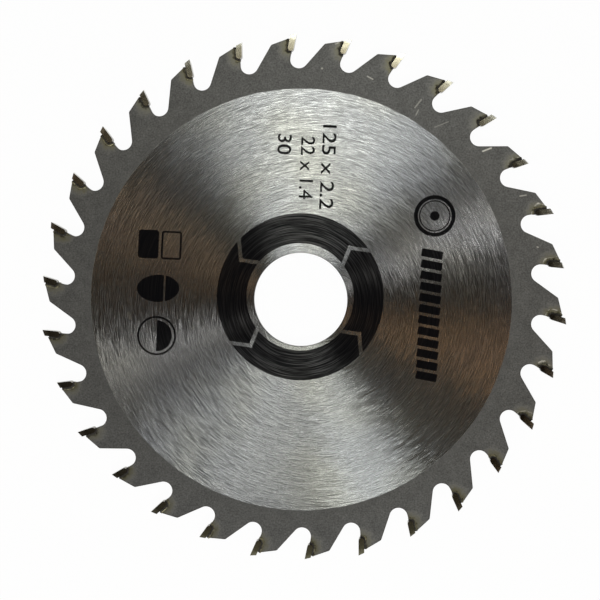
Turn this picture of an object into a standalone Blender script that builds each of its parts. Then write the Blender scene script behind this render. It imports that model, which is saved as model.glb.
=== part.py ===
"""A TCT circular saw blade: one steel plate with a carbide tip brazed to each tooth.

Metres and degrees. The origin is on the bore's axis at mid-thickness, with +Z along the arbor.
Seen from +Z the blade turns clockwise, and the first tip's cutting edge points along +Y.
"""

import math

import bmesh
import bpy
from mathutils import Matrix, Vector

# The whole blade
BLADE_DIAMETER = 0.125      # over the points of the tips
BORE_DIAMETER = 0.0222
PLATE_THICKNESS = 0.0014
TOOTH_COUNT = 30

# Carbide tips, which cut a kerf wider than the plate
KERF_WIDTH = 0.0022         # across a tip at its cutting edge
TIP_THICKNESS = 0.00135     # from the face to the back that is brazed
TIP_LENGTH = 0.0042         # along the face, from the point to the end of the round nose
HOOK_ANGLE = 12.5           # the face leans forward of the radius through the point
TOP_RELIEF_ANGLE = 13.0     # the top falls away behind the cutting edge
TOP_BEVEL_ANGLE = 12.0      # the top falls away to one side, left and right in turn
SIDE_RELIEF_RADIAL = 0.75   # the sides close in towards the bore
SIDE_RELIEF_BACK = 1.0      # and behind the cutting edge
BRAZE_GAP = 0.0003          # round the back and nose of a tip, for the braze

# Teeth and gullets of the plate
GULLET_DEPTH = 0.00805      # from the points down to the bottom of the gullet
GULLET_RADIUS = 0.00215
WALL_ANGLE = 10.0           # the gullet's wall under the tip, from the radius
FACE_STEP = 0.0005          # the tip's face stands forward of that wall
BACK_STEP = 0.001           # the tip's point stands above the back of the tooth
BACK_RELIEF_ANGLE = 17.0
BACK_LENGTH = 0.00435       # from the tip's seat to the corner of the shoulder
SHOULDER_RADIUS = 0.0006

# Fineness of the round parts
GULLET_SEGMENTS = 18
SEAT_SEGMENTS = 8
SHOULDER_SEGMENTS = 4
NOSE_SEGMENTS = 8
BORE_SEGMENTS = 120

BLANK_ALLOWANCE = 0.0005    # carbide that is ground off a tip's blank on its top and sides
WELD_DISTANCE = 1e-7

blade_radius = BLADE_DIAMETER / 2
pitch = 2 * math.pi / TOOTH_COUNT
nose_radius = TIP_THICKNESS / 2
seat_radius = nose_radius + BRAZE_GAP


def direction(degrees):
    """Unit vector at an angle counter-clockwise from +X."""
    angle = math.radians(degrees)
    return Vector((math.cos(angle), math.sin(angle)))


def heading(vector):
    """Angle of a vector, counter-clockwise from +X."""
    return math.atan2(vector.y, vector.x)


def turned(point, angle):
    return Matrix.Rotation(angle, 2) @ point


def arc(centre, radius, start, end, segments):
    """Points of an arc, both ends included; it runs clockwise where end is below start."""
    angles = (start + (end - start) * step / segments for step in range(segments + 1))
    return [centre + radius * Vector((math.cos(a), math.sin(a))) for a in angles]


def clockwise_arc(centre, radius, first, last, segments):
    """The arc that runs clockwise from the heading of one vector to that of another."""
    start = heading(first)
    sweep = (start - heading(last)) % (2 * math.pi)
    return arc(centre, radius, start, start - sweep, segments)


def at_radius(point, along, radius):
    """Where a line that points outwards crosses a circle about the axis."""
    advance = point.dot(along)
    return point + along * (math.sqrt(advance ** 2 - point.length_squared + radius ** 2) - advance)


def rounded_corner(before, corner, after, radius, segments):
    """Points of a fillet between two straight edges that meet at a corner."""
    to_before = (before - corner).normalized()
    to_after = (after - corner).normalized()
    half_angle = to_before.angle(to_after) / 2
    centre = corner + (to_before + to_after).normalized() * radius / math.sin(half_angle)
    reach = radius / math.tan(half_angle)
    start = heading(corner + to_before * reach - centre)
    sweep = math.pi - 2 * half_angle
    return arc(centre, radius, start, start + sweep, segments)


# A tooth is drawn with its point on +Y, where forward, the way it cuts, is +X.
tip_point = Vector((0, blade_radius))
down_face = direction(-90 - HOOK_ANGLE)
behind_face = direction(180 - HOOK_ANGLE)
nose_centre = (tip_point + down_face * (TIP_LENGTH - nose_radius)
               + behind_face * nose_radius)


def tooth_outline():
    """One pitch of the plate's edge, counter-clockwise, from the gullet ahead of the tooth."""
    up_wall = direction(90 - WALL_ANGLE)
    ahead_of_wall = direction(-WALL_ANGLE)
    wall_point = nose_centre - behind_face * (nose_radius - FACE_STEP)

    # The wall ends in a lip, where it meets the round seat under the tip's nose.
    to_nose = nose_centre - wall_point
    drop = math.sqrt(seat_radius ** 2 - to_nose.cross(up_wall) ** 2)
    lip = wall_point + up_wall * (to_nose.dot(up_wall) - drop)

    # The gullet touches the wall, and its bottom lies at the gullet's depth.
    gullet_centre = at_radius(wall_point + ahead_of_wall * GULLET_RADIUS, up_wall,
                              blade_radius - GULLET_DEPTH + GULLET_RADIUS)

    # The back runs from the top of the seat down to the shoulder.
    seat_top = at_radius(nose_centre + behind_face * seat_radius, -down_face,
                         blade_radius - BACK_STEP)
    down_back = turned(seat_top.normalized(), math.radians(90 + BACK_RELIEF_ANGLE))
    shoulder = seat_top + down_back * BACK_LENGTH

    # A straight flank leads from each shoulder into the gullet behind it.
    shoulder_ahead = turned(shoulder, -pitch) - gullet_centre
    flank_start = turned(shoulder_ahead, -math.acos(GULLET_RADIUS / shoulder_ahead.length))
    flank_end = turned(gullet_centre + flank_start.normalized() * GULLET_RADIUS, pitch)

    return (clockwise_arc(gullet_centre, GULLET_RADIUS, flank_start, -ahead_of_wall,
                          GULLET_SEGMENTS)
            + clockwise_arc(nose_centre, seat_radius, lip - nose_centre, behind_face,
                            SEAT_SEGMENTS)
            + [seat_top]
            + rounded_corner(seat_top, shoulder, flank_end, SHOULDER_RADIUS,
                             SHOULDER_SEGMENTS))


def tip_outline():
    """The side view of a tip's blank: straight face and back, and a round nose."""
    face_top = tip_point - down_face * BLANK_ALLOWANCE
    back_top = face_top + behind_face * TIP_THICKNESS
    nose = clockwise_arc(nose_centre, nose_radius, -behind_face, behind_face, NOSE_SEGMENTS)
    return [face_top] + nose + [back_top]


def extruded_outline(name, outlines, thickness):
    """A flat curve object, filled between its outlines and centred on the plane z = 0."""
    curve = bpy.data.curves.new(name, "CURVE")
    curve.dimensions = "2D"
    curve.fill_mode = "BOTH"
    curve.extrude = thickness / 2
    for points in outlines:
        spline = curve.splines.new("POLY")
        spline.points.add(len(points) - 1)
        for target, point in zip(spline.points, points):
            target.co = (point.x, point.y, 0, 1)
        spline.use_cyclic_u = True
    return bpy.data.objects.new(name, curve)


def metal(name, colour, roughness):
    material = bpy.data.materials.new(name)
    material.use_nodes = True
    shader = material.node_tree.nodes["Principled BSDF"]
    shader.inputs["Base Color"].default_value = (*colour, 1)
    shader.inputs["Metallic"].default_value = 1
    shader.inputs["Roughness"].default_value = roughness
    return material


def make_plate(collection):
    """The steel plate: teeth, gullets and tip seats round the rim, and the arbor bore."""
    tooth = tooth_outline()
    rim = [turned(point, pitch * index) for index in range(TOOTH_COUNT) for point in tooth]
    bore = arc(Vector((0, 0)), BORE_DIAMETER / 2, 0, 2 * math.pi, BORE_SEGMENTS)[:-1]
    plate = extruded_outline("blade_plate", [rim, bore], PLATE_THICKNESS)
    plate.data.materials.append(metal("tool steel", (0.36, 0.35, 0.34), 0.35))
    collection.objects.link(plate)


def grind(solid, point, normal):
    """Cut a solid off at a plane and close it with a flat face."""
    geometry = solid.verts[:] + solid.edges[:] + solid.faces[:]
    bmesh.ops.bisect_plane(solid, geom=geometry, plane_co=point, plane_no=normal,
                           clear_outer=True)
    rim = [edge for edge in solid.edges if edge.is_boundary]
    bmesh.ops.edgeloop_fill(solid, edges=rim)


def make_tip_mesh(name, collection, high_side):
    """A tip ground from its blank, with its point on the side that high_side gives."""
    blank = extruded_outline(name, [tip_outline()], KERF_WIDTH + 2 * BLANK_ALLOWANCE)
    collection.objects.link(blank)
    evaluated = blank.evaluated_get(bpy.context.evaluated_depsgraph_get())
    mesh = bpy.data.meshes.new_from_object(evaluated)
    curve = blank.data
    bpy.data.objects.remove(blank)
    bpy.data.curves.remove(curve)

    solid = bmesh.new()
    solid.from_mesh(mesh)
    bmesh.ops.remove_doubles(solid, verts=solid.verts, dist=WELD_DISTANCE)
    for side in (1, -1):
        corner = tip_point.to_3d() + Vector((0, 0, side * KERF_WIDTH / 2))
        lean = (down_face * math.tan(math.radians(SIDE_RELIEF_RADIAL))
                + behind_face * math.tan(math.radians(SIDE_RELIEF_BACK)))
        grind(solid, corner, (lean.x, lean.y, side))
        if side == high_side:
            grind(solid, corner, (-math.tan(math.radians(TOP_RELIEF_ANGLE)), 1,
                                  -side * math.tan(math.radians(TOP_BEVEL_ANGLE))))
    bmesh.ops.recalc_face_normals(solid, faces=solid.faces)
    solid.to_mesh(mesh)
    solid.free()
    mesh.name = name
    return mesh


def make_tips(collection):
    """The tips in cutting order, clockwise, beveled to the one side and the other in turn."""
    carbide = metal("tungsten carbide", (0.13, 0.12, 0.11), 0.45)
    meshes = [make_tip_mesh("tip_high_above", collection, 1),
              make_tip_mesh("tip_high_below", collection, -1)]
    for mesh in meshes:
        mesh.materials.append(carbide)
    for index in range(TOOTH_COUNT):
        tip = bpy.data.objects.new(f"tip_{index + 1:02d}", meshes[index % 2])
        tip.rotation_euler.z = -pitch * index
        collection.objects.link(tip)


def main():
    for leftover in list(bpy.data.objects):
        bpy.data.objects.remove(leftover)
    collection = bpy.data.collections.new("circular_saw_blade")
    bpy.context.scene.collection.children.link(collection)
    make_plate(collection)
    make_tips(collection)


main()
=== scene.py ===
"""The looks of a TCT circular saw blade: its finishes, its braze and its print, and a stage.

Metres and degrees, in the frame of the CAD. The blade lies flat with its printed face up (+Z).
A clock angle runs clockwise from +Y as seen from above, the way the blade turns; tip_01 is at 0.
Sizes with mm in their names are in millimetres, because the patterns are worked out in them.
"""

import math
import random

import bmesh
import bpy
from mathutils import Matrix, Vector


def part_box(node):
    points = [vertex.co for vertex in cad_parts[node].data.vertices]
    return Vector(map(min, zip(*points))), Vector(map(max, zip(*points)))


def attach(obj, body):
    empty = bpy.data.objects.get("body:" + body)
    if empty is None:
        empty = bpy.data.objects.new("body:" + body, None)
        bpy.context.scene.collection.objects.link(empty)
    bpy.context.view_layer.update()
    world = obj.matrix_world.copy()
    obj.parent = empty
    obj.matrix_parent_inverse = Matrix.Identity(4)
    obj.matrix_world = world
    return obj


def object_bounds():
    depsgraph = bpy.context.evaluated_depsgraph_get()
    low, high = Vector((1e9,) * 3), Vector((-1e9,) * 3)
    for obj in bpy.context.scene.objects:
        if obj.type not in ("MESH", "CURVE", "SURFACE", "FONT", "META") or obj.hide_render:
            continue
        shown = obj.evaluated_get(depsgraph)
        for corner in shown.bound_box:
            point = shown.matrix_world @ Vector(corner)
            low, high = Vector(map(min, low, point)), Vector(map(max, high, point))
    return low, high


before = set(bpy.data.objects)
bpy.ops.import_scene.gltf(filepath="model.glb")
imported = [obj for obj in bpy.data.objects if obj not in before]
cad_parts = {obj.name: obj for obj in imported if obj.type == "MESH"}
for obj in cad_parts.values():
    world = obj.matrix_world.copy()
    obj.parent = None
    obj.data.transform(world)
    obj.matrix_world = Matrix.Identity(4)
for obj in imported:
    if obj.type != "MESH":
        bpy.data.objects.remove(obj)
cad_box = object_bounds()

bl_info = {
    "name": "Circular saw blade looks",
    "version": (1, 0, 0),
    "blender": (4, 5, 0),
    "location": "View3D > Sidebar > Saw blade",
    "description": "Finishes, braze and print of a carbide tipped saw blade",
    "category": "Object",
}

MM = 0.001

# Taken from the frame
plate_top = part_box("blade_plate")[1].z
blade_radius = cad_box[1].y
tooth_count = sum(name.startswith("tip_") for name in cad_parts)
pitch = 360 / tooth_count

# The seat of tip_01, as the part's source draws it
HOOK_ANGLE = 12.5
TIP_THICKNESS = 1.35 * MM
TIP_LENGTH = 4.2 * MM
TIP_LINE_LENGTH = 2.4 * MM  # of the middle line, from the centre of the nose towards the point
BRAZE_GAP = 0.3 * MM


def direction(degrees):
    """Unit vector at an angle counter-clockwise from +X."""
    angle = math.radians(degrees)
    return Vector((math.cos(angle), math.sin(angle), 0))


def on_clock(radius, degrees):
    """The point at a radius and a clock angle."""
    return direction(90 - degrees) * radius


tip_point = Vector((0, blade_radius, 0))
down_face = direction(-90 - HOOK_ANGLE)
behind_face = direction(180 - HOOK_ANGLE)
nose_centre = (tip_point + down_face * (TIP_LENGTH - TIP_THICKNESS / 2)
               + behind_face * TIP_THICKNESS / 2)
seat_radius = TIP_THICKNESS / 2 + BRAZE_GAP


def linear(hex_colour):
    """An sRGB hex colour as the linear values that Blender works in."""
    channels = [int(hex_colour[place:place + 2], 16) / 255 for place in (0, 2, 4)]
    return tuple(c / 12.92 if c <= 0.04045 else ((c + 0.055) / 1.055) ** 2.4 for c in channels)


def size(name, description, default):
    return bpy.props.FloatProperty(name=name, description=description, default=default,
                                   min=0, unit="LENGTH", subtype="DISTANCE", precision=5)


def colour(name, description, hex_colour):
    return bpy.props.FloatVectorProperty(name=name, description=description, size=3, min=0, max=1,
                                         default=linear(hex_colour), subtype="COLOR")


def amount(name, description, default):
    return bpy.props.FloatProperty(name=name, description=description, default=default, min=0,
                                   precision=3)


class BladeFinish(bpy.types.PropertyGroup):
    """Sizes and colours of the steel, the carbide and the braze."""
    ground_radius: size("Ground radius", "Edge of the ground middle, where the blasted rim starts",
                        50.0 * MM)
    streak_length: size("Streak length", "Length of a grinding mark round the blade", 2.8 * MM)
    streak_width: size("Streak width", "Width of a grinding mark, drawn coarser than it is",
                       0.085 * MM)
    ground_cool: colour("Cool ground steel", "Bluer colour of the ground middle", "b1b3b6")
    ground_warm: colour("Warm ground steel", "Greener colour of the ground middle", "b3b4b1")
    blasted_steel: colour("Blasted steel", "Colour of the grey rim", "686867")
    cut_edge: colour("Cut edge", "Colour of the cut edges of the plate", "4c4a46")
    stain: colour("Flux stain", "Colour that brazing leaves on a tooth", "706d58")
    washed: colour("Flux wash", "Paler steel round the stain", "a09f98")
    scratch: colour("Scratch", "Bright steel at the bottom of a scratch", "dedcd4")
    carbide: colour("Carbide", "Colour of the ground carbide", "928e7f")
    # Paler colour of the points: partly freshly ground carbide, partly a painted highlight for
    # their bright glint
    carbide_point_and_painted_glint: colour("Point", "Colour of the freshly sharpened points", "d2d0c4")
    carbide_stained: colour("Stained carbide", "Colour of the carbide near its nose", "716b5c")
    braze: colour("Braze", "Colour of the silver braze", "7a755c")
    braze_burnt: colour("Burnt flux", "Colour of the dark seam along the braze", "1c1812")


class BladePrint(bpy.types.PropertyGroup):
    """Sizes and colour of what is printed on the plate."""
    ink: colour("Ink", "Colour of the printing ink", "0e0e10")
    ink_height: size("Ink height", "How far the ink stands above the plate", 0.02 * MM)
    ring_outer: size("Ring outer radius", "Outer edge of the printed ring", 19.8 * MM)
    ring_inner: size("Ring inner radius", "Inner edge of the printed ring", 12.75 * MM)
    ring_gap: size("Ring gap", "Width of the bent gaps between the parts of the ring", 0.9 * MM)
    digit_height: size("Digit height", "Height of the printed numbers", 3.2 * MM)


class BladeStage(bpy.types.PropertyGroup):
    """Light and camera."""
    floor: colour("Floor", "Colour of the floor", "f4f4f2")
    room: colour("Room", "Dim warm light from overhead", "26201a")
    horizon: colour("Horizon", "Light of the pale walls low down", "8a8278")
    key_brightness: amount("Key light", "Brightness of the large softboxes", 3.3)
    strip_brightness: amount("Strip light", "Brightness of the narrow softboxes", 7.0)
    fill_brightness: amount("Fill light", "Brightness of the faint softboxes", 1.4)
    glint_brightness: amount("Glint light", "Brightness of the lamp that the tips mirror", 6.8)
    lens: bpy.props.FloatProperty(name="Lens", description="Focal length for a 36 mm sensor",
                                  default=75.78, unit="CAMERA")


# Nodes

def add_node(tree, kind, *values, output=None, **settings):
    """Adds a node with its settings and its links, and gives back one of its outputs.

    The values go in order to the inputs that the node shows, or by name where they come in a
    dict. Another node's output is linked, and any other value is set.
    """
    node = tree.nodes.new("ShaderNode" + kind)
    for name, value in settings.items():
        setattr(node, name, value)
    if values and isinstance(values[0], dict):
        feeds = [(node.inputs[name], value) for name, value in values[0].items()]
    else:
        feeds = zip([socket for socket in node.inputs if socket.enabled], values)
    for socket, value in feeds:
        if isinstance(value, bpy.types.NodeSocket):
            tree.links.new(value, socket)
        else:
            socket.default_value = (*value, 1) if socket.type == "RGBA" else value
    shown = [socket for socket in node.outputs if socket.enabled]
    return node.outputs[output] if output else next(iter(shown), None)


def new_tree(name):
    """The empty node tree of a new material."""
    material = bpy.data.materials.new(name)
    material.use_nodes = True
    material.node_tree.nodes.clear()
    return material, material.node_tree


def place_in_mm(tree, centre=(0, 0), flat=True):
    """The point on the blade in millimetres from a centre, its height left out where flat."""
    coordinates = add_node(tree, "TexCoord", output="Object")
    scale = (1 / MM, 1 / MM, 0 if flat else 1 / MM)
    return add_node(tree, "Mapping", coordinates, (-centre[0], -centre[1], 0), (0, 0, 0), scale)


def streaks(tree, centre, length_mm, width_mm, detail=2.0):
    """Marks that run round a centre: noise that is stretched along the circles about it."""
    place = place_in_mm(tree, centre)
    radius = add_node(tree, "VectorMath", place, operation="LENGTH")
    along = add_node(tree, "VectorMath", place, 1 / length_mm, operation="SCALE")
    across = add_node(tree, "Math", radius, 1 / width_mm, operation="MULTIPLY")
    across = add_node(tree, "CombineXYZ", 0, 0, across)
    stretched = add_node(tree, "VectorMath", along, across, operation="ADD")
    return add_node(tree, "TexNoise", stretched, 1.0, detail, 0.6)


def distance_to_line(tree, place, start, end):
    """How far a point is from a straight line between two points, all in the same units."""
    along = Vector(end) - Vector(start)
    from_start = add_node(tree, "VectorMath", place, start, operation="SUBTRACT")
    share = add_node(tree, "VectorMath", from_start, along / along.length_squared,
                     operation="DOT_PRODUCT")
    share = add_node(tree, "Clamp", share)
    nearest = add_node(tree, "VectorMath", along, share, operation="SCALE")
    return add_node(tree, "VectorMath", from_start, nearest, operation="DISTANCE")


def distance_to_tip(tree):
    """How far a point is from the middle line of the nearest tip, in millimetres."""
    place = place_in_mm(tree)
    radius = add_node(tree, "VectorMath", place, operation="LENGTH")
    clock = add_node(tree, "Math", add_node(tree, "SeparateXYZ", place, output="X"),
                     add_node(tree, "SeparateXYZ", place, output="Y"), operation="ARCTAN2")
    # Each tooth is turned to the place of tip_01: the wrap runs from the gullet ahead of it
    ahead = math.radians(pitch * 0.25)
    local = add_node(tree, "Math", clock, ahead, ahead - math.radians(pitch), operation="WRAP")
    x = add_node(tree, "Math", radius, add_node(tree, "Math", local, operation="SINE"),
                 operation="MULTIPLY")
    y = add_node(tree, "Math", radius, add_node(tree, "Math", local, operation="COSINE"),
                 operation="MULTIPLY")
    tip_top = nose_centre - down_face * TIP_LINE_LENGTH
    return distance_to_line(tree, add_node(tree, "CombineXYZ", x, y, 0.0), nose_centre / MM,
                            tip_top / MM)


# The wheel that ground the plate was centred a little off the bore, and crossed its own marks
GRINDING_CENTRE_MM = (-0.3, -0.3)
CROSSING_CENTRE_MM = (5.0, -4.0)

# A few marks are longer: some ground deep and broad, and some that a coarse grain left bright
DEEP_MARK_LENGTH_MM = 9.0
DEEP_MARK_WIDTH_MM = 0.35
BRIGHT_MARK_LENGTH_MM = 5.0
BRIGHT_MARK_WIDTH_MM = 0.2

# Patterns of the steel, as patches in a millimetre
TINTS_PER_MM = 0.045  # patches of 22 mm
TEETH_PER_MM = 0.06  # of 17 mm, so that one tooth differs from the next
CLOUDS_PER_MM = 0.09  # of 11 mm
WAVES_PER_MM = 0.25  # of 4 mm
UNEVEN_PER_MM = 0.35  # of 3 mm
CURLS_PER_MM = 0.6  # of 1.7 mm
FLUX_PER_MM = 1.1  # of 0.9 mm
GRIT_PER_MM = 2.6  # of 0.4 mm
LASER_RIBS_PER_MM = 4.5  # of 0.2 mm round the edge
ALONG_RIBS_PER_MM = 0.5  # of 2 mm across the thickness

# Patterns of the other materials
CARBIDE_STAINS_PER_MM = 1.3  # patches of 0.8 mm
BRAZE_LUMPS_PER_MM = 1.6  # of 0.6 mm
PAPER_FIBRES_PER_MM = 0.8  # of 1.3 mm

# A diamond wheel's lines on the carbide, round the blade and outwards, drawn ten times coarser
CARBIDE_LINES_MM = (0.35, 1.4)

# Where wear shows, in millimetres on the printed face: start, end, half width, strength
SCRATCHES_MM = (
    ((27.5, 44.7), (29.0, 46.5), 0.2, 0.32),
    ((27.7, 42.9), (28.3, 44.1), 0.16, 0.32),
    ((32.0, 40.0), (35.2, 41.2), 0.14, 0.22),
    ((16.5, 52.2), (17.7, 51.5), 0.18, 0.5),
    ((9.1, 59.9), (9.8, 60.2), 0.2, 0.4),
    ((43.2, 34.2), (45.1, 34.9), 0.22, 0.9),
    ((51.7, 23.6), (53.1, 23.8), 0.18, 0.5),
    ((55.6, 11.7), (55.8, 11.6), 0.2, 0.5),
    ((5.8, 54.3), (5.9, 54.3), 0.25, 0.45),
    ((-41.3, -2.7), (-40.8, -4.1), 0.35, 0.9),
    ((-26.0, -6.4), (-25.9, -6.4), 0.3, 0.6),
    ((46.9, -1.9), (47.1, -3.1), 0.14, 0.5),
)


def ground_finish(tree, finish, whole):
    """Colour, height and lay of the ground middle. A grinding mark is a hundredth of a millimetre
    wide, and is drawn about eight times coarser so that it shows."""
    length = finish.streak_length / MM
    width = finish.streak_width / MM
    first_pass = streaks(tree, GRINDING_CENTRE_MM, length, width, 1.5)
    second_pass = streaks(tree, CROSSING_CENTRE_MM, length * 1.4, width * 1.1, 1.5)
    marks = add_node(tree, "Math", first_pass, second_pass, operation="MAXIMUM")
    shade = add_node(tree, "MapRange", marks, 0.44, 0.7, 0.42, 1.36)
    deep = streaks(tree, GRINDING_CENTRE_MM, DEEP_MARK_LENGTH_MM, DEEP_MARK_WIDTH_MM)
    shade = add_node(tree, "Math", shade, add_node(tree, "MapRange", deep, 0.3, 0.7, 0.92, 1.06),
                     operation="MULTIPLY")
    bright = streaks(tree, CROSSING_CENTRE_MM, BRIGHT_MARK_LENGTH_MM, BRIGHT_MARK_WIDTH_MM)
    bright = add_node(tree, "MapRange", bright, 0.62, 0.74, 1.0, 1.5)
    shade = add_node(tree, "Math", shade, bright, operation="MULTIPLY")
    clouds = add_node(tree, "TexNoise", whole, CLOUDS_PER_MM, 3.0)
    shade = add_node(tree, "Math", shade, add_node(tree, "MapRange", clouds, 0.3, 0.7, 0.93, 1.05),
                     operation="MULTIPLY")
    tint = add_node(tree, "TexNoise", whole, TINTS_PER_MM, 1.0)
    tint = add_node(tree, "MapRange", tint, 0.4, 0.6)
    tone = add_node(tree, "Mix", tint, finish.ground_cool, finish.ground_warm, data_type="RGBA")
    return add_node(tree, "VectorMath", tone, shade, operation="SCALE"), marks, second_pass


def blasted_finish(tree, finish, whole):
    """Colour and height of the blasted rim: grit of a tenth of a millimetre, drawn about four
    times coarser so that it shows, and a slight unevenness."""
    grit = add_node(tree, "TexNoise", whole, GRIT_PER_MM, 3.0, 0.7)
    uneven = add_node(tree, "TexNoise", whole, UNEVEN_PER_MM, 3.0, 0.6)
    shade = add_node(tree, "Math", add_node(tree, "MapRange", grit, 0.25, 0.75, 0.55, 1.42),
                     add_node(tree, "MapRange", uneven, 0.3, 0.7, 0.9, 1.1), operation="MULTIPLY")
    return add_node(tree, "VectorMath", finish.blasted_steel, shade, operation="SCALE"), grit


def brazing_marks(tree, finish, whole, steel):
    """Flux and heat colour each tooth behind its tip, more on one tooth than on the next, and
    burnt flux is left along the seam. Gives the stained colour and the shares of both.

    Each mark reaches so many millimetres out from the edge of the seat, more or less ragged.
    """
    seat = seat_radius / MM
    wander = add_node(tree, "TexNoise", whole, FLUX_PER_MM, 3.0, 0.6)
    reach = add_node(tree, "MapRange", wander, 0, 1, -1.2, 1.2)
    reach = add_node(tree, "Math", distance_to_tip(tree), reach, operation="ADD")
    each_tooth = add_node(tree, "TexNoise", whole, TEETH_PER_MM, 1.0)
    each_tooth = add_node(tree, "MapRange", each_tooth, 0.35, 0.6, 0.5, 1.0)
    washed = add_node(tree, "MapRange", reach, seat + 0.8, seat + 2.6, 0.4, 0.0)
    steel = add_node(tree, "Mix", washed, steel, finish.washed, data_type="RGBA")
    stained = add_node(tree, "MapRange", reach, seat + 0.4, seat + 1.8, 0.95, 0.0)
    stained = add_node(tree, "Math", stained, each_tooth, operation="MULTIPLY")
    steel = add_node(tree, "Mix", stained, steel, finish.stain, data_type="RGBA")
    seam = add_node(tree, "MapRange", wander, 0, 1, -0.9, 0.9)
    seam = add_node(tree, "Math", distance_to_tip(tree), seam, operation="ADD")
    burnt = add_node(tree, "MapRange", seam, seat + 0.05, seat + 0.55, 0.9, 0.0)
    steel = add_node(tree, "Mix", burnt, steel, finish.braze_burnt, data_type="RGBA")

    # On the side that the torch came from, the flux has dried to a pale thin line
    curl = add_node(tree, "TexNoise", whole, CURLS_PER_MM, 1.0)
    line = add_node(tree, "MapRange", curl, 0, 1, -0.8, 0.8)
    line = add_node(tree, "Math", distance_to_tip(tree), line, operation="ADD")
    line = add_node(tree, "Math", line, seat + 0.7, operation="SUBTRACT")
    line = add_node(tree, "Math", line, operation="ABSOLUTE")
    line = add_node(tree, "MapRange", line, 0.06, 0.16, 0.8, 0.0)
    line = add_node(tree, "Math", line, add_node(tree, "MapRange", wander, 0.42, 0.58),
                    operation="MULTIPLY")
    torch_side = add_node(tree, "SeparateXYZ", place_in_mm(tree), output="X")
    torch_side = add_node(tree, "MapRange", torch_side, 48, 56)
    line = add_node(tree, "Math", line, torch_side, operation="MULTIPLY")
    steel = add_node(tree, "Mix", line, steel, finish.scratch, data_type="RGBA")
    return steel, stained, burnt


def scratched_share(tree, whole):
    """How much of the surface is scratched bright, on the printed face only."""
    place = place_in_mm(tree)
    scratched = 0.0
    for start, end, half_width, strength in SCRATCHES_MM:
        distance = distance_to_line(tree, place, (*start, 0), (*end, 0))
        mark = add_node(tree, "MapRange", distance, half_width * 0.4, half_width * 1.2,
                        strength, 0.0)
        scratched = add_node(tree, "Math", scratched, mark, operation="MAXIMUM")
    above = add_node(tree, "MapRange", add_node(tree, "SeparateXYZ", whole, output="Z"), 0.0, 0.5)
    return add_node(tree, "Math", scratched, above, operation="MULTIPLY")


def plate_material(finish):
    """Tool steel sheet. The middle is ground on a rotary table, so fine marks run round it and the
    light gathers in a bow tie; the rim is left as blasted after brazing, dull and even."""
    material, tree = new_tree("tool_steel_ground_and_blasted")
    whole = place_in_mm(tree, flat=False)
    from_centre = place_in_mm(tree, GRINDING_CENTRE_MM)
    radius = add_node(tree, "VectorMath", from_centre, operation="LENGTH")

    # The edge of the ground middle wavers by a few hundredths of a millimetre
    waver = add_node(tree, "TexNoise", whole, WAVES_PER_MM)
    waver = add_node(tree, "MapRange", waver, 0, 1, -0.12, 0.12)
    edge = add_node(tree, "Math", radius, waver, operation="ADD")
    ground_edge = finish.ground_radius / MM
    blasted = add_node(tree, "MapRange", edge, ground_edge - 0.04, ground_edge + 0.06)
    ground, marks, lay = ground_finish(tree, finish, whole)
    rim, grit = blasted_finish(tree, finish, whole)
    steel = add_node(tree, "Mix", blasted, ground, rim, data_type="RGBA")
    steel, stained, burnt = brazing_marks(tree, finish, whole, steel)

    # The laser leaves dark edges, ribbed across the thickness, and a thin dark line is drawn along
    # the edges of the faces
    normal = add_node(tree, "NewGeometry", output="True Normal")
    upright = add_node(tree, "Math", add_node(tree, "SeparateXYZ", normal, output="Z"),
                       operation="ABSOLUTE")
    cut = add_node(tree, "MapRange", upright, 0.5, 0.7, 1.0, 0.0)
    rib_scale = (LASER_RIBS_PER_MM, LASER_RIBS_PER_MM, ALONG_RIBS_PER_MM)
    ribs = add_node(tree, "Mapping", whole, (0, 0, 0), (0, 0, 0), rib_scale)
    ribs = add_node(tree, "TexNoise", ribs, 1.0, 2.0)
    ribbed = add_node(tree, "MapRange", ribs, 0.3, 0.7, 0.6, 1.3)
    cut_steel = add_node(tree, "VectorMath", finish.cut_edge, ribbed, operation="SCALE")
    inside = add_node(tree, "AmbientOcclusion", {"Distance": 0.3 * MM}, output="AO", samples=6,
                      inside=True, only_local=True)
    # A darker line on the faces, where the inward occlusion reaches a side wall
    dark_edge_line = add_node(tree, "MapRange", inside, 0.55, 0.97, 0.85, 0.0)
    steel = add_node(tree, "Mix", dark_edge_line, steel, finish.cut_edge, data_type="RGBA")
    steel = add_node(tree, "Mix", cut, steel, cut_steel, data_type="RGBA")
    steel = add_node(tree, "Mix", scratched_share(tree, whole), steel, finish.scratch,
                     data_type="RGBA")

    # The marks scatter light across themselves, so the rough direction is the radius
    not_ground = add_node(tree, "Math", blasted, cut, operation="MAXIMUM")
    smooth_part = add_node(tree, "Math", 1.0, not_ground, operation="SUBTRACT")
    roughness = add_node(tree, "MapRange", marks, 0.4, 0.75, 0.3, 0.23)
    roughness = add_node(tree, "Mix", smooth_part, 0.47, roughness)
    roughness = add_node(tree, "Mix", stained, roughness, 0.38)
    roughness = add_node(tree, "Mix", burnt, roughness, 0.7)
    height = add_node(tree, "Mix", blasted, marks, grit)
    height = add_node(tree, "Mix", cut, height, ribs)
    bump = add_node(tree, "Bump", {"Height": height, "Strength": 0.35, "Distance": 0.02 * MM})
    radial = add_node(tree, "VectorMath", from_centre, operation="NORMALIZE")

    # No two marks lie quite alike: each lights up at a place of its own, up to 9 degrees off
    turn = add_node(tree, "MapRange", lay, 0.36, 0.64, -0.024, 0.024)
    surface = add_node(tree, "BsdfPrincipled", {
        "Base Color": steel, "Metallic": 1.0, "Roughness": roughness, "Normal": bump,
        "Anisotropic": smooth_part, "Anisotropic Rotation": turn, "Tangent": radial})
    add_node(tree, "OutputMaterial", surface)
    return material


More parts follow.
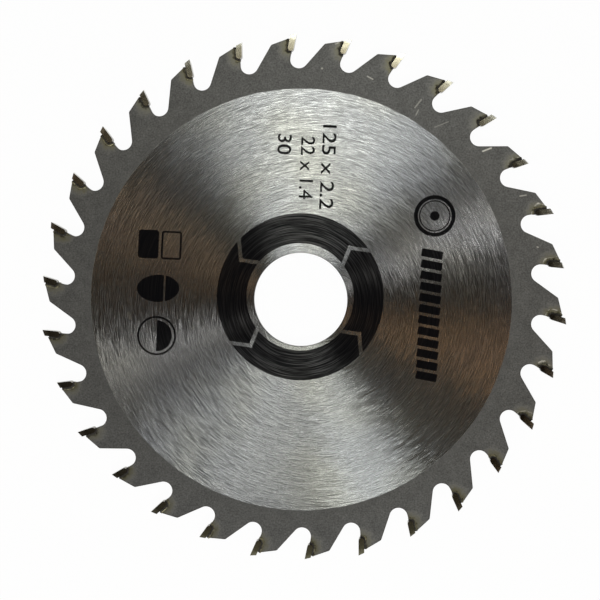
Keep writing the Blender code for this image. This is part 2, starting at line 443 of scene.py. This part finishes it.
def carbide_material(finish):
    """Sintered tungsten carbide, ground with a diamond wheel: smooth and grey towards the point,
    where it mirrors a lamp, and duller and browner towards the nose, where flux is left on it."""
    material, tree = new_tree("tungsten_carbide_diamond_ground")
    whole = place_in_mm(tree, flat=False)
    place = place_in_mm(tree)
    radius = add_node(tree, "VectorMath", place, operation="LENGTH")
    lines = streaks(tree, (0, 0), *CARBIDE_LINES_MM)
    stains = add_node(tree, "TexNoise", whole, CARBIDE_STAINS_PER_MM, 3.0, 0.6)
    ragged = add_node(tree, "MapRange", stains, 0, 1, -0.8, 0.8)
    ragged = add_node(tree, "Math", radius, ragged, operation="ADD")
    point_radius = blade_radius / MM
    clean = add_node(tree, "MapRange", ragged, point_radius - 4.0, point_radius - 1.6)
    tone = add_node(tree, "Mix", clean, finish.carbide_stained, finish.carbide, data_type="RGBA")
    # The points are made paler: partly fresh grinding, partly a painted highlight for their bright
    # glint
    point = add_node(tree, "MapRange", ragged, point_radius - 1.5, point_radius - 0.6)
    tone = add_node(tree, "Mix", point, tone, finish.carbide_point_and_painted_glint, data_type="RGBA")

    # The torch came from one side, and left more flux on the tips there
    sooty = add_node(tree, "MapRange", add_node(tree, "SeparateXYZ", place, output="X"), 28, 52)
    near_nose = add_node(tree, "MapRange", ragged, point_radius - 3.2, point_radius - 2.0,
                         0.85, 0.0)
    sooty = add_node(tree, "Math", sooty, near_nose, operation="MULTIPLY")
    tone = add_node(tree, "Mix", sooty, tone, finish.braze_burnt, data_type="RGBA")
    shade = add_node(tree, "Math", add_node(tree, "MapRange", lines, 0.3, 0.7, 0.94, 1.05),
                     add_node(tree, "MapRange", stains, 0.35, 0.65, 0.94, 1.03),
                     operation="MULTIPLY")
    tone = add_node(tree, "VectorMath", tone, shade, operation="SCALE")
    bump = add_node(tree, "Bump", {"Height": lines, "Strength": 0.03, "Distance": 0.01 * MM})
    surface = add_node(tree, "BsdfPrincipled", {
        "Base Color": tone, "Metallic": 1.0, "Normal": bump,
        "Roughness": add_node(tree, "MapRange", clean, 0, 1, 0.23, 0.16)})
    add_node(tree, "OutputMaterial", surface)
    return material


def braze_material(finish):
    """Silver braze that was melted in with a torch: lumpy and yellowish where the metal shows, and
    nearly black where burnt flux is left against the tip."""
    material, tree = new_tree("silver_braze_with_burnt_flux")
    whole = place_in_mm(tree, flat=False)
    lumps = add_node(tree, "TexNoise", whole, BRAZE_LUMPS_PER_MM, 3.0, 0.6)
    reach = add_node(tree, "MapRange", lumps, 0, 1, -0.5, 0.5)
    reach = add_node(tree, "Math", distance_to_tip(tree), reach, operation="ADD")
    tip_side = TIP_THICKNESS / 2 / MM
    clean = add_node(tree, "MapRange", reach, tip_side + 0.3, tip_side + 0.7)
    tone = add_node(tree, "Mix", clean, finish.braze_burnt, finish.braze, data_type="RGBA")
    bump = add_node(tree, "Bump", {"Height": lumps, "Strength": 0.5, "Distance": 0.1 * MM})
    surface = add_node(tree, "BsdfPrincipled", {
        "Base Color": tone, "Normal": bump,
        "Metallic": add_node(tree, "MapRange", clean, 0, 1, 0.1, 0.9),
        "Roughness": add_node(tree, "MapRange", clean, 0, 1, 0.6, 0.38)})
    add_node(tree, "OutputMaterial", surface)
    return material


def ink_material(print_settings, finish):
    """Pad-printed ink, so thin that its gloss still follows the grinding marks of the steel: it is
    plain black at the sides, and finely lined where the steel beside it is bright."""
    material, tree = new_tree("pad_printing_ink")
    place = place_in_mm(tree, GRINDING_CENTRE_MM)
    radius = add_node(tree, "VectorMath", place, operation="LENGTH")
    marks = streaks(tree, GRINDING_CENTRE_MM, 3 * finish.streak_length / MM,
                    1.6 * finish.streak_width / MM)

    # The clamping flange has polished the ink round the bore
    polished = add_node(tree, "MapRange", radius, 20.5, 23.0, 1.0, 0.3)
    gloss = add_node(tree, "Math", add_node(tree, "MapRange", marks, 0.48, 0.66, 0.06, 0.9),
                     polished, operation="MULTIPLY")
    bump = add_node(tree, "Bump", {"Height": marks, "Strength": 0.3, "Distance": 0.01 * MM})
    radial = add_node(tree, "VectorMath", place, operation="NORMALIZE")
    surface = add_node(tree, "BsdfPrincipled", {
        "Base Color": print_settings.ink, "Roughness": 0.28, "Specular IOR Level": gloss,
        "Anisotropic": 1.0, "Tangent": radial, "Normal": bump})
    add_node(tree, "OutputMaterial", surface)
    return material


# Modelling

def add_primitive(add, **settings):
    """Adds a primitive with nothing else selected, and returns its object."""
    bpy.ops.object.select_all(action="DESELECT")
    add(**settings)
    return bpy.context.object


def select_only(piece):
    bpy.ops.object.select_all(action="DESELECT")
    piece.select_set(True)
    bpy.context.view_layer.objects.active = piece


def in_edit_mode(piece, work):
    """Runs work on a piece in edit mode, with its whole mesh selected at the start."""
    select_only(piece)
    bpy.ops.object.mode_set(mode="EDIT")
    bpy.ops.mesh.select_mode(type="VERT")
    bpy.ops.mesh.select_all(action="SELECT")
    work()
    bpy.ops.object.mode_set(mode="OBJECT")


def select_vertices(piece, wanted):
    """In edit mode, selects the vertices whose place passes a test."""
    shape = bmesh.from_edit_mesh(piece.data)
    bpy.ops.mesh.select_all(action="DESELECT")
    for vertex in shape.verts:
        vertex.select = wanted(vertex.co)
    shape.select_flush(True)
    bmesh.update_edit_mesh(piece.data)


def apply_modifier(piece, kind, **settings):
    modifier = piece.modifiers.new(kind.lower(), kind)
    for name, value in settings.items():
        setattr(modifier, name, value)
    select_only(piece)
    bpy.ops.object.modifier_apply(modifier=modifier.name)


def settle(piece, name, material):
    """Puts a piece's place into its mesh, names it, and lets it ride on the blade."""
    select_only(piece)
    bpy.ops.object.transform_apply(location=True, rotation=True, scale=True)
    piece.name = name
    piece.data.name = name
    piece.data.materials.clear()
    piece.data.materials.append(material)
    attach(piece, "root")


def join(pieces):
    bpy.ops.object.select_all(action="DESELECT")
    for piece in pieces:
        piece.select_set(True)
    bpy.context.view_layer.objects.active = pieces[0]
    bpy.ops.object.join()
    return pieces[0]


def bar(start, end, width, low, high):
    """A thin bar on the plate between two points, square at its ends."""
    start = Vector(start)
    end = Vector(end)
    along = end - start
    middle = (start + end) / 2
    return add_primitive(
        bpy.ops.mesh.primitive_cube_add, size=1, location=(middle.x, middle.y, (low + high) / 2),
        rotation=(0, 0, math.atan2(along.y, along.x)), scale=(along.length, width, high - low))


def disc(centre, radius, low, high, segments):
    return add_primitive(
        bpy.ops.mesh.primitive_cylinder_add, vertices=segments, radius=radius, depth=high - low,
        location=(centre[0], centre[1], (low + high) / 2))


def washer(centre, outer, inner, low, high, segments):
    """A flat ring."""
    return pierce(disc(centre, outer, low, high, segments), outer - inner)


def pierce(piece, border):
    """Turns a flat solid into a frame of that width: both ends are inset and bridged."""
    def cut_through():
        shape = bmesh.from_edit_mesh(piece.data)
        bpy.ops.mesh.select_mode(type="FACE")
        bpy.ops.mesh.select_all(action="DESELECT")
        for face in shape.faces:
            face.select = abs(face.normal.z) > 0.9
        bmesh.update_edit_mesh(piece.data)
        bpy.ops.mesh.inset(thickness=border, depth=0)
        bpy.ops.mesh.bridge_edge_loops()

    in_edit_mode(piece, cut_through)
    return piece


def rounded_block(centre, length, width, corner, lean, low, high):
    """A flat block with round corners, turned by an angle counter-clockwise."""
    half = direction(lean).xy * length / 2
    piece = bar(centre - half, centre + half, width, low, high)
    bpy.ops.object.transform_apply(location=False, rotation=False, scale=True)

    def round_corners():
        shape = bmesh.from_edit_mesh(piece.data)
        bpy.ops.mesh.select_mode(type="EDGE")
        bpy.ops.mesh.select_all(action="DESELECT")
        for edge in shape.edges:
            start, end = (vertex.co for vertex in edge.verts)
            edge.select = (start.xy - end.xy).length < 1e-7
        bmesh.update_edit_mesh(piece.data)
        bpy.ops.mesh.bevel(offset=corner, segments=5, affect="EDGES")

    in_edit_mode(piece, round_corners)
    return piece


def cut_with(piece, cutter):
    """Cuts a piece with another, which is used up."""
    apply_modifier(piece, "BOOLEAN", object=cutter, operation="DIFFERENCE", solver="EXACT",
                   use_self=True)
    bpy.data.objects.remove(cutter)


def soften(piece):
    """Rounds the edges of a print, as wet ink draws back from them."""
    apply_modifier(piece, "BEVEL", width=0.008 * MM, segments=2, limit_method="ANGLE")
    return piece


def ink_levels():
    """Lowest and highest level of a print: a little of it is sunk into the plate's face."""
    height = bpy.context.scene.blade_print.ink_height
    return plate_top - height / 2, plate_top + height


def ink():
    """The ink, made once for all that is printed."""
    made = bpy.data.materials.get("pad_printing_ink")
    scene = bpy.context.scene
    return made or ink_material(scene.blade_print, scene.blade_finish)


# Layout of the print in millimetres and degrees. It was printed askew by a few degrees.
PRINT_LEAN = 3.6
RING_CENTRE_MM = (-0.13, 0.64)
RING_GAP_ANGLES = (43.8, 147.2, 223.8, 327.3)
GAP_BEND_RADIUS_MM = 16.55
GAP_OUTER_LAG = 12.2  # from the bend of a gap back to its outer end
GAP_INNER_LAG = 9.0  # and to its inner end

# The round mark: its centre, the outer and inner radii of two rings, and the radius of a dot
ROUND_MARK_CENTRE_MM = (31.85, 19.3)
WIDE_RING_MM = (4.85, 3.95)
THIN_RING_MM = (3.65, 3.4)
DOT_RADIUS_MM = 1.1

# The bars stand in a band that runs down the blade
BARS_START_MM = (31.25, 11.7)
BARS_END_MM = (29.4, -19.8)
BAR_COUNT = 12
BAR_SHARE = 0.72  # of the way from one bar to the next
BAR_CORNER_MM = 0.2
BAR_SLANT_MM = 0.7  # from one end of a bar to the other
BAND_HALF_WIDTH_MM = 2.5

# The small signs: two squares, a split oval and a half-filled circle
SIGN_STROKE_MM = 0.45
SQUARE_SIZE_MM = (4.9, 6.8)
SQUARE_CORNER_MM = 0.7
FILLED_SQUARE_CENTRE_MM = (-36.1, 13.7)
FRAMED_SQUARE_CENTRE_MM = (-30.6, 13.3)
OVAL_CENTRE_MM = (-34.0, 3.1)
OVAL_HALF_LENGTH_MM = 5.1
OVAL_HALF_WIDTH_MM = 3.25
OVAL_SPLIT_MM = 1.5  # from the middle of the oval
CIRCLE_CENTRE_MM = (-34.6, -8.2)
CIRCLE_RADIUS_MM = 4.7
HALF_DISC_RADIUS_MM = 3.7

# What is printed, the start of its base line and its length
NUMBERS = (
    ("125 x 2.2", (6.05, 42.2), 19.7),
    ("22 x 1.4", (0.85, 38.6), 14.6),
    ("30", (-4.65, 39.5), 4.7),
)


class SAWBLADE_OT_finish_plate(bpy.types.Operator):
    """Give the steel plate its ground middle and blasted rim"""
    bl_idname = "saw_blade.finish_plate"
    bl_label = "Finish the plate"

    def execute(self, context):
        material = plate_material(context.scene.blade_finish)
        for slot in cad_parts["blade_plate"].material_slots:
            slot.material = material
        return {"FINISHED"}


class SAWBLADE_OT_finish_tips(bpy.types.Operator):
    """Give the carbide tips their ground finish"""
    bl_idname = "saw_blade.finish_tips"
    bl_label = "Finish the tips"

    def execute(self, context):
        material = carbide_material(context.scene.blade_finish)
        for name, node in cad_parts.items():
            if name.startswith("tip_"):
                for slot in node.material_slots:
                    slot.material = material
        return {"FINISHED"}


class SAWBLADE_OT_add_braze(bpy.types.Operator):
    """Fill the seat behind and under each tip with silver braze"""
    bl_idname = "saw_blade.add_braze"
    bl_label = "Add the braze"

    def execute(self, context):
        material = braze_material(context.scene.blade_finish)
        pattern = self.seat_filling()
        lumps = bpy.data.textures.new("braze_lumps", "CLOUDS")
        lumps.noise_scale = 0.9 * MM
        chance = random.Random(5)
        for index in range(tooth_count):
            piece = pattern.copy()
            piece.data = pattern.data.copy()
            context.collection.objects.link(piece)
            piece.data.transform(Matrix.Rotation(math.radians(-pitch * index), 4, "Z"))
            apply_modifier(piece, "DISPLACE", texture=lumps, texture_coords="GLOBAL",
                           strength=0.3 * MM, mid_level=0.5 + chance.uniform(-0.15, 0.25))
            select_only(piece)
            bpy.ops.object.shade_smooth_by_angle(angle=math.radians(50))
            settle(piece, f"braze_{index + 1:02d}", material)
        bpy.data.objects.remove(pattern)
        return {"FINISHED"}

    def seat_filling(self):
        """The braze of tip_01 before its lumps: a rounded wrap round the tip's back and nose."""
        overlap = 0.45 * MM  # over the edge of the seat
        half_height = plate_top + 0.05 * MM
        rise = 2.5 * MM  # of the part that runs up the tip's back
        set_back = 0.35 * MM  # from the tip's face, which stays clean
        back_height = 2.05 * MM  # up the tip's back, from the centre of its nose
        tooth_back = Vector((0.27, 0.96, 0))  # the way that the back of the tooth faces
        piece = add_primitive(bpy.ops.mesh.primitive_cylinder_add, vertices=24,
                              radius=seat_radius + overlap, depth=2 * half_height,
                              location=nose_centre)
        bpy.ops.object.transform_apply(location=True, rotation=False, scale=False)

        def draw_out():
            # The half of the round that faces the point is drawn up along the tip's back
            select_vertices(piece, lambda co: (co - nose_centre).dot(down_face) < 1e-6)
            bpy.ops.transform.translate(value=-down_face * rise)
            bpy.ops.mesh.select_all(action="SELECT")
            face_place = tip_point + behind_face * set_back
            bpy.ops.mesh.bisect(plane_co=face_place, plane_no=behind_face, clear_inner=True,
                                use_fill=True)
            bpy.ops.mesh.select_all(action="SELECT")
            back_top = nose_centre - down_face * back_height
            bpy.ops.mesh.bisect(plane_co=back_top, plane_no=tooth_back, clear_outer=True,
                                use_fill=True)

        in_edit_mode(piece, draw_out)
        apply_modifier(piece, "REMESH", mode="VOXEL", voxel_size=0.16 * MM)
        apply_modifier(piece, "SMOOTH", factor=0.5, iterations=4)
        return piece


class SAWBLADE_OT_print_ring(bpy.types.Operator):
    """Print the ring round the bore, parted by four bent gaps"""
    bl_idname = "saw_blade.print_ring"
    bl_label = "Print the ring"

    def execute(self, context):
        settings = context.scene.blade_print
        low, high = ink_levels()
        centre = Vector(RING_CENTRE_MM) * MM
        ring = washer(centre, settings.ring_outer, settings.ring_inner, low, high, 160)
        half_gap = settings.ring_gap / 2
        overshoot = 0.5 * MM
        arms = []
        for angle in RING_GAP_ANGLES:
            bend = centre + direction(angle).xy * GAP_BEND_RADIUS_MM * MM
            outer = centre + direction(angle - GAP_OUTER_LAG).xy * (settings.ring_outer + overshoot)
            inner = centre + direction(angle - GAP_INNER_LAG).xy * (settings.ring_inner - overshoot)
            for end in (outer, inner):
                start = bend - (end - bend).normalized() * half_gap
                arms.append(bar(start, end, settings.ring_gap, low - MM, high + MM))
        cut_with(ring, join(arms))
        settle(soften(ring), "printed_ring", ink())
        return {"FINISHED"}


class SAWBLADE_OT_print_numbers(bpy.types.Operator):
    """Print the plain numbers of the blade's sizes and teeth"""
    bl_idname = "saw_blade.print_numbers"
    bl_label = "Print the numbers"

    def execute(self, context):
        settings = context.scene.blade_print
        low, high = ink_levels()
        cap_share = 0.69
        for number, (words, place, length) in enumerate(NUMBERS, start=1):
            piece = add_primitive(bpy.ops.object.text_add,
                                  rotation=(0, 0, math.radians(-90 - PRINT_LEAN)),
                                  location=(place[0] * MM, place[1] * MM, (low + high) / 2))
            piece.data.body = words
            piece.data.size = settings.digit_height / cap_share
            piece.data.extrude = (high - low) / 2
            piece.data.resolution_u = 4
            bpy.context.view_layer.update()
            piece.scale.x = length * MM / piece.dimensions.x
            select_only(piece)
            bpy.ops.object.convert(target="MESH")
            self.thicken(piece, high - low)
            settle(piece, f"printed_number_{number}", ink())
        return {"FINISHED"}

    def thicken(self, piece, height):
        """Widens the strokes of a number all round, and then gives it back its height."""
        in_edit_mode(piece, lambda: bpy.ops.mesh.remove_doubles(threshold=1e-7))
        apply_modifier(piece, "DISPLACE", strength=0.06 * MM, mid_level=0)
        select_only(piece)
        piece.scale.z = height / piece.dimensions.z


class SAWBLADE_OT_print_marks(bpy.types.Operator):
    """Print the plain shapes: rings, slanted bars and three small signs"""
    bl_idname = "saw_blade.print_marks"
    bl_label = "Print the marks"

    def execute(self, context):
        low, high = ink_levels()
        self.rings(low, high)
        self.slanted_bars(low, high)
        self.small_shapes(low, high)
        return {"FINISHED"}

    def rings(self, low, high):
        centre = Vector(ROUND_MARK_CENTRE_MM) * MM
        wide_outer, wide_inner = WIDE_RING_MM
        thin_outer, thin_inner = THIN_RING_MM
        rings = [washer(centre, wide_outer * MM, wide_inner * MM, low, high, 72),
                 washer(centre, thin_outer * MM, thin_inner * MM, low, high, 64),
                 disc(centre, DOT_RADIUS_MM * MM, low, high, 32)]
        settle(soften(join(rings)), "printed_rings", ink())

    def slanted_bars(self, low, high):
        band_start = Vector(BARS_START_MM) * MM
        band_end = Vector(BARS_END_MM) * MM
        down = (band_end - band_start).normalized()
        across = Vector((-down.y, down.x))
        half_band = BAND_HALF_WIDTH_MM * MM
        lean = math.degrees(math.atan2(*(across * 2 * half_band + down * BAR_SLANT_MM * MM).yx))
        advance = (band_end - band_start).length / BAR_COUNT
        bar_width = advance * BAR_SHARE
        corner = BAR_CORNER_MM * MM
        bars = []
        for number in range(BAR_COUNT):
            middle = band_start + down * advance * (number + 0.5)
            bars.append(rounded_block(middle, 2 * half_band, bar_width, corner, lean, low, high))
        settle(soften(join(bars)), "printed_bars", ink())

    def small_shapes(self, low, high):
        stroke = SIGN_STROKE_MM * MM
        lean = -PRINT_LEAN

        squares = []
        for place in (FILLED_SQUARE_CENTRE_MM, FRAMED_SQUARE_CENTRE_MM):
            squares.append(rounded_block(Vector(place) * MM, SQUARE_SIZE_MM[0] * MM,
                                         SQUARE_SIZE_MM[1] * MM, SQUARE_CORNER_MM * MM,
                                         lean, low, high))
        pierce(squares[1], stroke)
        settle(soften(join(squares)), "printed_sign_1", ink())

        centre = Vector(OVAL_CENTRE_MM) * MM
        oval = disc(centre, OVAL_HALF_WIDTH_MM * MM, low, high, 72)
        oval.scale.x = OVAL_HALF_LENGTH_MM / OVAL_HALF_WIDTH_MM
        down = direction(-90 + lean).xy * 5 * MM
        split = centre + Vector((OVAL_SPLIT_MM * MM, 0))
        cut_with(oval, bar(split - down, split + down, stroke, low - MM, high + MM))
        settle(soften(oval), "printed_sign_2", ink())

        # The left half of the disc goes, with a block that is wider and longer than it
        centre = Vector(CIRCLE_CENTRE_MM) * MM
        radius = CIRCLE_RADIUS_MM * MM
        outline = washer(centre, radius, radius - stroke, low, high, 72)
        half = disc(centre, HALF_DISC_RADIUS_MM * MM, low, high, 72)
        beside = centre + direction(lean).xy * -5 * MM
        cut_with(half, bar(beside - down * 1.2, beside + down * 1.2, 10 * MM, low - MM, high + MM))
        settle(soften(join([outline, half])), "printed_sign_3", ink())


# The camera looks almost straight down. Seen from the bore it stands these degrees towards the
# top and the right of the picture, and it is turned a little about its own line of sight.
CAMERA_ABOVE = 2.49766
CAMERA_RIGHT = 3.7012
CAMERA_ROLL = 0.83
CAMERA_AIM_MM = (-0.164, -0.116)
CAMERA_HEIGHT_MM = 300.0


class SAWBLADE_OT_set_stage(bpy.types.Operator):
    """Set the floor, the soft studio light and the camera"""
    bl_idname = "saw_blade.set_stage"
    bl_label = "Set the stage"

    def execute(self, context):
        settings = context.scene.blade_stage
        context.scene.view_settings.view_transform = "Standard"
        self.floor(settings)
        self.room(context, settings)
        self.lamps(settings)
        self.camera(context, settings)
        return {"FINISHED"}

    def floor(self, settings):
        radius = 4
        rim_height = 1.2
        below_blade = cad_box[0].z - 0.02 * MM
        floor = add_primitive(bpy.ops.mesh.primitive_circle_add, vertices=128, radius=radius,
                              fill_type="NGON", location=(0, 0, below_blade))

        def turn_up_rim():
            # A high rim makes the floor its own backdrop for low views
            bpy.ops.mesh.inset(thickness=0.5, depth=0)
            bpy.ops.mesh.select_all(action="SELECT")
            select_vertices(floor, lambda co: co.xy.length > radius - 0.1)
            bpy.ops.transform.translate(value=(0, 0, rim_height))

        in_edit_mode(floor, turn_up_rim)
        floor.name = "floor"
        material, tree = new_tree("matt_white_paper")
        fibres = add_node(tree, "TexNoise", place_in_mm(tree), PAPER_FIBRES_PER_MM, 2.0)
        bump = add_node(tree, "Bump", {"Height": fibres, "Strength": 0.1, "Distance": 0.05 * MM})
        paper = add_node(tree, "BsdfPrincipled",
                         {"Base Color": settings.floor, "Roughness": 0.9, "Normal": bump})

        # Straight from the camera and in the metal it is white, but for a part that keeps shadows
        seen = add_node(tree, "LightPath", output="Is Camera Ray")
        for ray in ("Is Glossy Ray", "Is Transmission Ray"):
            seen = add_node(tree, "Math", seen, add_node(tree, "LightPath", output=ray),
                            operation="MAXIMUM")
        white_share = 0.97
        share = add_node(tree, "Math", seen, white_share, operation="MULTIPLY")
        glow = add_node(tree, "Emission", (1, 1, 1), 1.0)
        add_node(tree, "OutputMaterial", add_node(tree, "MixShader", share, paper, glow))
        floor.data.materials.append(material)

    def room(self, context, settings):
        room = bpy.data.worlds.new("room")
        room.use_nodes = True
        tree = room.node_tree
        tree.nodes.clear()
        upwards = add_node(tree, "SeparateXYZ", add_node(tree, "TexCoord", output="Generated"),
                           output="Z")
        overhead = add_node(tree, "MapRange", upwards, 0.5, 0.8)
        light = add_node(tree, "Mix", overhead, settings.horizon, settings.room, data_type="RGBA")
        add_node(tree, "OutputWorld", add_node(tree, "Background", light))
        context.scene.world = room

    def lamps(self, settings):
        key = settings.key_brightness
        strip = settings.strip_brightness
        fill = settings.fill_brightness
        glint = settings.glint_brightness

        # Clock angle, tilt from straight up, width, depth, brightness, tone
        softbox("key_softbox", 9, 22, 0.43, 0.24, 0.83 * key, "fcfffb")
        softbox("key_side_softbox", 37, 56, 0.30, 0.30, 1.3 * key, "f8faff")
        softbox("low_softbox", 165, 47, 0.28, 0.30, 4.1 * key, "fcfffb")
        softbox("low_side_softbox", 213, 54, 0.62, 0.30, 1.1 * key, "f8faff")

        # The strips light up a narrow ray each, and the faint fills warm the dark sectors
        softbox("strip_softbox", 70, 20, 0.06, 0.16, strip, "fffcf6")
        softbox("low_strip_softbox", 250, 48, 0.12, 0.22, strip, "fffcf6")
        softbox("fill_softbox", 116, 22, 0.14, 0.16, fill, "ffc48c")
        softbox("far_fill_softbox", 287, 24, 0.12, 0.16, 0.55 * fill, "ffd8b0")

        # The tips at the top mirror the first of these, and those at the bottom the faint second
        softbox("glint_softbox", 342, 8.3, 0.15, 0.15, glint, "fffff4")
        softbox("low_glint_softbox", 187, 14.5, 0.21, 0.13, 0.08 * key, "f8f8d8")

    def camera(self, context, settings):
        camera = bpy.data.objects.new("camera", bpy.data.cameras.new("camera"))
        camera.data.lens = settings.lens
        camera.data.sensor_width = 36
        lean = (Matrix.Rotation(math.radians(CAMERA_ABOVE), 4, "X")
                @ Matrix.Rotation(math.radians(-CAMERA_RIGHT), 4, "Y")
                @ Matrix.Rotation(math.radians(CAMERA_ROLL), 4, "Z"))
        aim_and_height = Vector((*CAMERA_AIM_MM, CAMERA_HEIGHT_MM)) * MM
        camera.matrix_world = lean.transposed() @ Matrix.Translation(aim_and_height)
        context.collection.objects.link(camera)
        context.scene.camera = camera


LAMP_DISTANCE = 1.0


def softbox(name, clock_angle, tilt, width, depth, brightness, tone):
    """A soft lamp that looks at the blade. Brightness is that of its white cloth."""
    lamp = bpy.data.lights.new(name, "AREA")
    lamp.shape = "RECTANGLE"
    lamp.size = width
    lamp.size_y = depth
    lamp.energy = brightness * math.pi * width * depth
    lamp.color = linear(tone)
    stand = bpy.data.objects.new(name, lamp)
    towards = on_clock(math.sin(math.radians(tilt)), clock_angle)
    towards.z = math.cos(math.radians(tilt))
    stand.location = towards * LAMP_DISTANCE
    stand.rotation_mode = "QUATERNION"
    stand.rotation_quaternion = (-towards).to_track_quat("-Z", "Y")
    bpy.context.collection.objects.link(stand)


class SAWBLADE_PT_panel(bpy.types.Panel):
    """The steps that dress the saw blade"""
    bl_label = "Saw blade"
    bl_idname = "SAWBLADE_PT_panel"
    bl_space_type = "VIEW_3D"
    bl_region_type = "UI"
    bl_category = "Saw blade"

    def draw(self, context):
        for step in STEPS:
            self.layout.operator(step.bl_idname)
        for settings in (context.scene.blade_finish, context.scene.blade_print,
                         context.scene.blade_stage):
            box = self.layout.box()
            for name in settings.__annotations__:
                box.prop(settings, name)


SETTINGS = {"blade_finish": BladeFinish, "blade_print": BladePrint, "blade_stage": BladeStage}
STEPS = (SAWBLADE_OT_finish_plate, SAWBLADE_OT_finish_tips, SAWBLADE_OT_add_braze,
         SAWBLADE_OT_print_ring, SAWBLADE_OT_print_numbers, SAWBLADE_OT_print_marks,
         SAWBLADE_OT_set_stage)


def register():
    for name, group in SETTINGS.items():
        bpy.utils.register_class(group)
        setattr(bpy.types.Scene, name, bpy.props.PointerProperty(type=group))
    for step in (*STEPS, SAWBLADE_PT_panel):
        bpy.utils.register_class(step)


def unregister():
    for step in (SAWBLADE_PT_panel, *reversed(STEPS)):
        bpy.utils.unregister_class(step)
    for name, group in SETTINGS.items():
        delattr(bpy.types.Scene, name)
        bpy.utils.unregister_class(group)


def main():
    register()
    bpy.ops.saw_blade.finish_plate()
    bpy.ops.saw_blade.finish_tips()
    bpy.ops.saw_blade.add_braze()
    bpy.ops.saw_blade.print_ring()
    bpy.ops.saw_blade.print_numbers()
    bpy.ops.saw_blade.print_marks()
    bpy.ops.saw_blade.set_stage()


if __name__ == "__main__":
    main()
